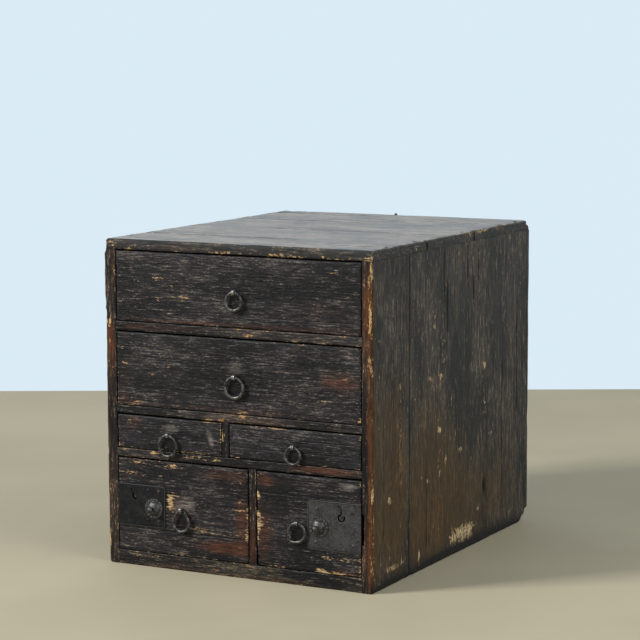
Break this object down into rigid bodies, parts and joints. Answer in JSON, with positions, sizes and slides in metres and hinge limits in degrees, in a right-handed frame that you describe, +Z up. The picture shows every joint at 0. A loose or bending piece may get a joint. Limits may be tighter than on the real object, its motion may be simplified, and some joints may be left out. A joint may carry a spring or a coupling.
{
  "type": "small drawer chest",
  "caption": "Small plank chest with drawers on iron ring pulls; the two lowest drawers lock with a knob and bolt.",
  "frame": {"origin": "middle of the footprint on the floor", "axes": "+X to the right as the chest is faced, +Y from the drawer fronts to the back, +Z up"},
  "size_m": [0.38, 0.5012, 0.42],
  "materials": {
    "wood": "worn dark lacquer over softwood",
    "top_wood": "worn dark lacquer, weathered grey",
    "front_wood": "worn dark lacquer over softwood",
    "inner_wood": "bare aged softwood",
    "pegs": "worn dark lacquer",
    "iron": "forged, blackened and worn"
  },
  "bodies": {
    "case": {"top_planks": "top_wood", "left_front_plank": "wood", "left_rear_plank": "wood", "right_front_plank": "wood", "right_rear_plank": "wood", "bottom_board": "wood", "back_planks": "wood", "upper_rail": "wood", "upper_dust_board": "wood", "middle_rail": "wood", "middle_dust_board": "wood", "lower_rail": "wood", "lower_dust_board": "wood", "upper_divider": "wood", "lower_divider": "wood", "case_pegs": "pegs"},
    "top_drawer": {"top_drawer_front": "front_wood", "top_drawer_walls": "inner_wood", "top_drawer_bottom": "inner_wood", "top_drawer_staple": "iron"},
    "top_drawer_ring": {"top_drawer_ring": "iron"},
    "second_drawer": {"second_drawer_front": "front_wood", "second_drawer_walls": "inner_wood", "second_drawer_bottom": "inner_wood", "second_drawer_staple": "iron"},
    "second_drawer_ring": {"second_drawer_ring": "iron"},
    "small_left_drawer": {"small_left_drawer_front": "front_wood", "small_left_drawer_walls": "inner_wood", "small_left_drawer_bottom": "inner_wood", "small_left_drawer_staple": "iron"},
    "small_left_drawer_ring": {"small_left_drawer_ring": "iron"},
    "small_right_drawer": {"small_right_drawer_front": "front_wood", "small_right_drawer_walls": "inner_wood", "small_right_drawer_bottom": "inner_wood", "small_right_drawer_staple": "iron"},
    "small_right_drawer_ring": {"small_right_drawer_ring": "iron"},
    "lower_left_drawer": {"lower_left_drawer_front": "front_wood", "lower_left_drawer_walls": "inner_wood", "lower_left_drawer_bottom": "inner_wood", "lower_left_drawer_staple": "iron", "lower_left_drawer_lock_plate": "iron", "lower_left_drawer_lock_nails": "iron", "lower_left_drawer_lock_rosette": "iron", "lower_left_drawer_lock_case": "iron", "lower_left_drawer_lock_spring": "iron"},
    "lower_left_drawer_ring": {"lower_left_drawer_ring": "iron"},
    "lower_left_drawer_knob": {"lower_left_drawer_lock_knob": "iron"},
    "lower_left_drawer_bolt": {"lower_left_drawer_lock_bolt": "iron"},
    "lower_right_drawer": {"lower_right_drawer_front": "front_wood", "lower_right_drawer_walls": "inner_wood", "lower_right_drawer_bottom": "inner_wood", "lower_right_drawer_staple": "iron", "lower_right_drawer_lock_plate": "iron", "lower_right_drawer_lock_nails": "iron", "lower_right_drawer_lock_rosette": "iron", "lower_right_drawer_lock_case": "iron", "lower_right_drawer_lock_spring": "iron"},
    "lower_right_drawer_ring": {"lower_right_drawer_ring": "iron"},
    "lower_right_drawer_knob": {"lower_right_drawer_lock_knob": "iron"},
    "lower_right_drawer_bolt": {"lower_right_drawer_lock_bolt": "iron"}
  },
  "joints": [
    {"name": "top_drawer_slide", "type": "slide", "parent": "case", "child": "top_drawer", "axis": [0, -1, 0], "range_m": [0, 0.38]},
    {"name": "top_drawer_ring_swing", "type": "hinge", "parent": "top_drawer", "child": "top_drawer_ring", "pos_m": [0, -0.2471, 0.36025], "axis": [-1, 0, 0], "range_deg": [-4, 160]},
    {"name": "second_drawer_slide", "type": "slide", "parent": "case", "child": "second_drawer", "axis": [0, -1, 0], "range_m": [0, 0.38]},
    {"name": "second_drawer_ring_swing", "type": "hinge", "parent": "second_drawer", "child": "second_drawer_ring", "pos_m": [0, -0.2473, 0.2545], "axis": [-1, 0, 0], "range_deg": [-4, 160]},
    {"name": "small_left_drawer_slide", "type": "slide", "parent": "case", "child": "small_left_drawer", "axis": [0, -1, 0], "range_m": [0, 0.38]},
    {"name": "small_left_drawer_ring_swing", "type": "hinge", "parent": "small_left_drawer", "child": "small_left_drawer_ring", "pos_m": [-0.09775, -0.2471, 0.1735], "axis": [-1, 0, 0], "range_deg": [-4, 160]},
    {"name": "small_right_drawer_slide", "type": "slide", "parent": "case", "child": "small_right_drawer", "axis": [0, -1, 0], "range_m": [0, 0.38]},
    {"name": "small_right_drawer_ring_swing", "type": "hinge", "parent": "small_right_drawer", "child": "small_right_drawer_ring", "pos_m": [0.082, -0.247, 0.1735], "axis": [-1, 0, 0], "range_deg": [-4, 160]},
    {"name": "lower_left_drawer_slide", "type": "slide", "parent": "case", "child": "lower_left_drawer", "axis": [0, -1, 0], "range_m": [0, 0.38]},
    {"name": "lower_left_drawer_ring_swing", "type": "hinge", "parent": "lower_left_drawer", "child": "lower_left_drawer_ring", "pos_m": [-0.07875, -0.2471, 0.079], "axis": [-1, 0, 0], "range_deg": [-4, 160]},
    {"name": "lower_left_drawer_knob_turn", "type": "hinge", "parent": "lower_left_drawer", "child": "lower_left_drawer_knob", "pos_m": [-0.1202, -0.243, 0.077], "axis": [0, -1, 0], "range_deg": [0, 50]},
    {"name": "lower_left_drawer_bolt_throw", "type": "slide", "parent": "lower_left_drawer", "child": "lower_left_drawer_bolt", "axis": [-1, 0, 0], "range_m": [0, 0.00659]},
    {"name": "lower_right_drawer_slide", "type": "slide", "parent": "case", "child": "lower_right_drawer", "axis": [0, -1, 0], "range_m": [0, 0.38]},
    {"name": "lower_right_drawer_ring_swing", "type": "hinge", "parent": "lower_right_drawer", "child": "lower_right_drawer_ring", "pos_m": [0.0875, -0.2473, 0.079], "axis": [-1, 0, 0], "range_deg": [-4, 160]},
    {"name": "lower_right_drawer_knob_turn", "type": "hinge", "parent": "lower_right_drawer", "child": "lower_right_drawer_knob", "pos_m": [0.1167, -0.243, 0.077], "axis": [0, 1, 0], "range_deg": [0, 50]},
    {"name": "lower_right_drawer_bolt_throw", "type": "slide", "parent": "lower_right_drawer", "child": "lower_right_drawer_bolt", "axis": [1, 0, 0], "range_m": [0, 0.00659]}
  ],
  "couplings": [
    {"joint": "lower_left_drawer_knob_turn", "follows": "lower_left_drawer_bolt_throw", "rad_per_m": 132.37},
    {"joint": "lower_right_drawer_knob_turn", "follows": "lower_right_drawer_bolt_throw", "rad_per_m": 132.37}
  ]
}
